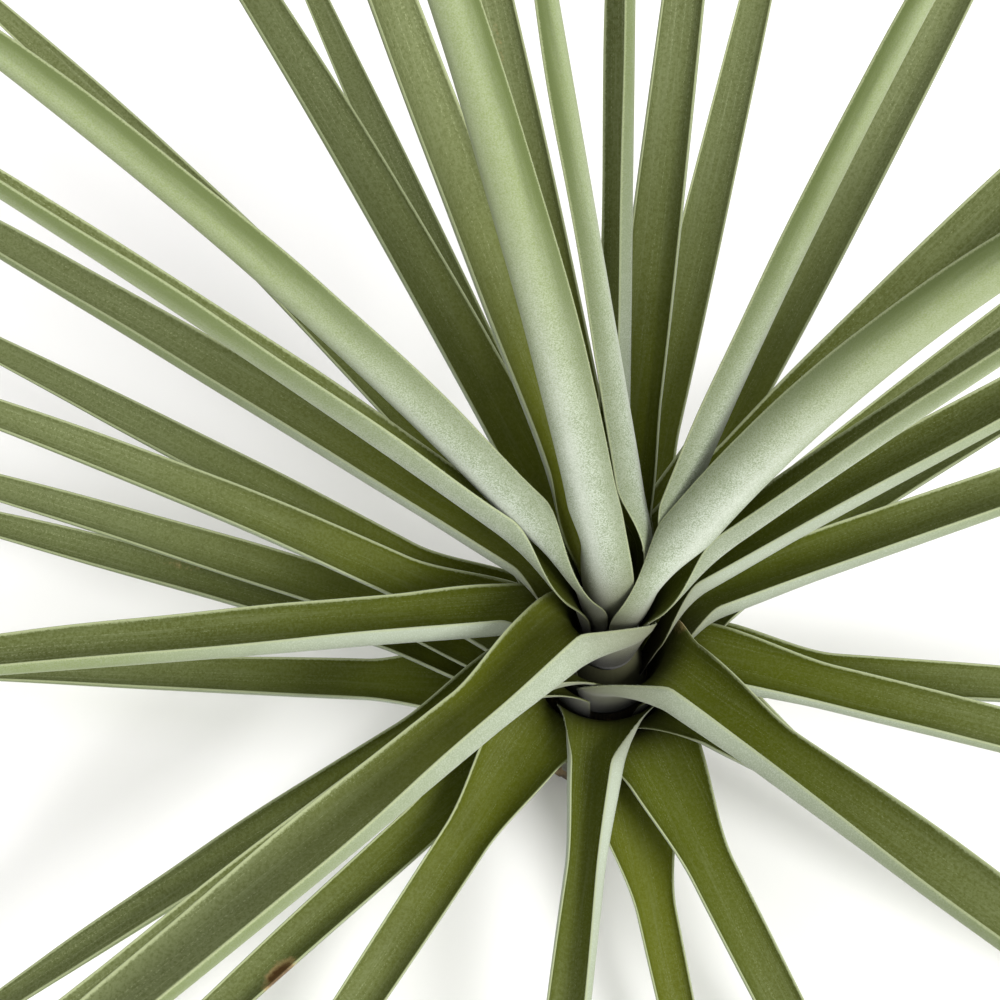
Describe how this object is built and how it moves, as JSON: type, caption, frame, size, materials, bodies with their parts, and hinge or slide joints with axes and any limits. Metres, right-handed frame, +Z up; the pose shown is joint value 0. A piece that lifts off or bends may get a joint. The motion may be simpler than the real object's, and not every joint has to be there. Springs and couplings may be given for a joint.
{
  "type": "air plant",
  "caption": "Rootless rosette air plant: a short stem sheathed by long, channelled, tapering grey-green strap leaves that arch out all round.",
  "frame": {"origin": "middle of the stem's flat foot, on the surface that the plant rests on", "axes": "+Z up along the stem, +Y to the back of the picture's view, +X to its right"},
  "size_m": [0.429, 0.3969, 0.2788],
  "materials": {
    "leaf": "dull olive-green face, silvery scurfy back",
    "stem": "rough, dry, grey-brown"
  },
  "bodies": {
    "root": {"stem": "stem", "leaf_01": "leaf", "leaf_02": "leaf", "leaf_03": "leaf", "leaf_04": "leaf", "leaf_05": "leaf", "leaf_06": "leaf", "leaf_07": "leaf", "leaf_08": "leaf", "leaf_09": "leaf", "leaf_10": "leaf", "leaf_11": "leaf", "leaf_12": "leaf", "leaf_13": "leaf", "leaf_14": "leaf", "leaf_15": "leaf", "leaf_16": "leaf", "leaf_17": "leaf", "leaf_18": "leaf", "leaf_19": "leaf", "leaf_20": "leaf", "leaf_21": "leaf", "leaf_22": "leaf", "leaf_23": "leaf", "leaf_24": "leaf", "leaf_25": "leaf", "leaf_26": "leaf", "leaf_27": "leaf", "leaf_28": "leaf", "leaf_29": "leaf", "leaf_30": "leaf", "leaf_31": "leaf", "leaf_32": "leaf", "leaf_33": "leaf", "leaf_34": "leaf", "leaf_35": "leaf", "leaf_36": "leaf", "leaf_37": "leaf", "leaf_38": "leaf", "leaf_39": "leaf", "leaf_40": "leaf"}
  },
  "joints": []
}
